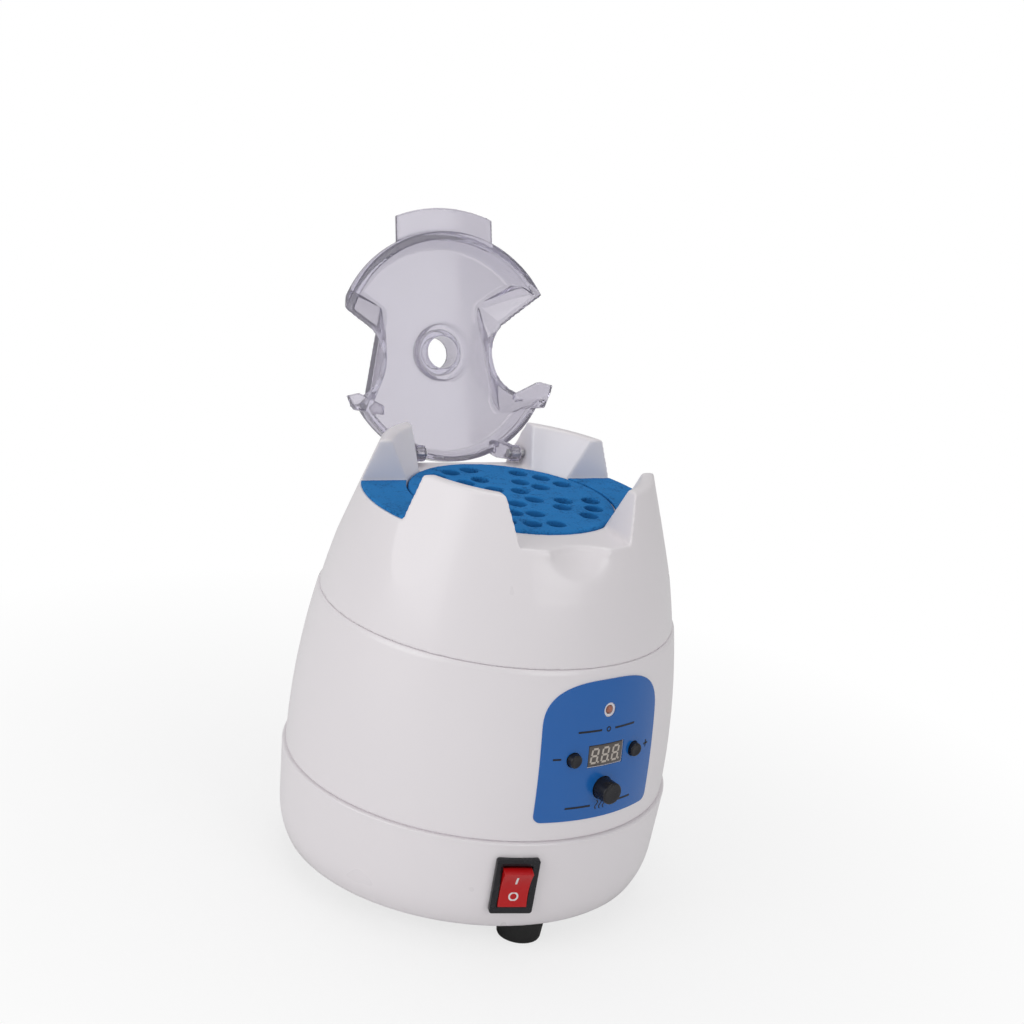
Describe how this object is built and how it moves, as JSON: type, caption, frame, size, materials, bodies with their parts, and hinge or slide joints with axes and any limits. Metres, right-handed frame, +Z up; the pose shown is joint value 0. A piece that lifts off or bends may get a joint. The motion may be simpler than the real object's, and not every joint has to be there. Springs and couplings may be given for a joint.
{
  "type": "eyeglass frame warmer",
  "caption": "Round white counter-top eyeglass frame warmer: four lugs round a blue foam pad, clear hinged lid, blue button panel, red rocker switch, rubber feet.",
  "frame": {"origin": "centre of the bottom plate's underside, on the housing's vertical axis", "axes": "+Z up along the housing's axis; -Y towards the open front notch, away from the lid's hinge; +X to the right seen from the front; the rubber feet reach 8 mm below the origin"},
  "size_m": [0.14, 0.1599, 0.2256],
  "materials": {
    "white_gloss": "glossy moulded ABS",
    "white_satin": "satin moulded plastic",
    "black_rubber": "matte",
    "steel": "zinc plated",
    "black_gloss": "glossy",
    "black_matte": "matte",
    "red_gloss": "glossy, slightly translucent",
    "blue_foam": "open-celled foam",
    "clear_plastic": "clear, faint violet tint",
    "blue_panel": "glossy film",
    "window_grey": "clear, over grey digits",
    "led_clear": "clear, faint red",
    "board_green": "lacquered",
    "aluminium": "satin",
    "brass": "plain",
    "copper_brown": "lacquered windings and steel can",
    "relay_blue": "matte",
    "terminal_green": "matte",
    "mica": "pressed mica board"
  },
  "bodies": {
    "housing": {"base_shell": "white_gloss", "middle_band": "white_gloss", "top_dome": "white_gloss", "bottom_plate": "white_satin", "rubber_feet": "black_rubber", "foot_screws": "steel", "plate_screws": "steel", "fan_frame": "black_matte", "fan_screws": "steel", "fan_motor": "copper_brown", "air_duct": "aluminium", "heater_bracket": "mica", "heater_core": "aluminium", "heater_terminals": "brass", "thermal_cutoff": "black_matte", "temperature_probe": "steel", "diffuser_plate": "aluminium", "foam_pad": "blue_foam", "pad_ear_left": "blue_foam", "pad_ear_right": "blue_foam", "hinge_pins": "steel", "panel_label": "blue_panel", "control_board": "board_green", "board_screws": "steel", "display_module": "black_matte", "display_window": "window_grey", "indicator_led": "led_clear", "push_switches": "black_matte", "controller_chip": "black_matte", "switch_body": "black_gloss", "switch_terminals": "brass", "power_inlet": "black_matte", "inlet_pins": "brass", "inlet_screws": "steel", "power_board": "board_green", "power_board_screws": "steel", "power_relay": "relay_blue", "power_capacitor": "black_matte", "terminal_block": "terminal_green"},
    "lid": {"lid": "clear_plastic"},
    "switch_rocker": {"switch_rocker": "red_gloss"},
    "minus_button": {"minus_button": "black_gloss"},
    "plus_button": {"plus_button": "black_gloss"},
    "heating_button": {"heating_button": "black_gloss"},
    "impeller": {"fan_impeller": "black_matte"}
  },
  "joints": [
    {"name": "lid_hinge", "type": "hinge", "parent": "housing", "child": "lid", "pos_m": [0, 0.0385, 0.1365], "axis": [1, 0, 0], "range_deg": [0, 110]},
    {"name": "rocker_pivot", "type": "hinge", "parent": "housing", "child": "switch_rocker", "pos_m": [-0.01431, -0.06735, 0.01857], "axis": [0.9781, -0.2079, 0], "range_deg": [-18, 0]},
    {"name": "minus_press", "type": "slide", "parent": "housing", "child": "minus_button", "axis": [-0.2011, 0.9796, 0], "range_m": [0, 0.0009], "stiffness_N_per_m": 400, "springref_m": -0.0005},
    {"name": "plus_press", "type": "slide", "parent": "housing", "child": "plus_button", "axis": [-0.2011, 0.9796, 0], "range_m": [0, 0.0009], "stiffness_N_per_m": 400, "springref_m": -0.0005},
    {"name": "heating_press", "type": "slide", "parent": "housing", "child": "heating_button", "axis": [-0.2011, 0.9796, 0], "range_m": [0, 0.0012], "stiffness_N_per_m": 400, "springref_m": -0.0005},
    {"name": "fan_spin", "type": "hinge", "parent": "housing", "child": "impeller", "pos_m": [0, 0, 0.0119], "axis": [0, 0, 1], "continuous": true}
  ]
}
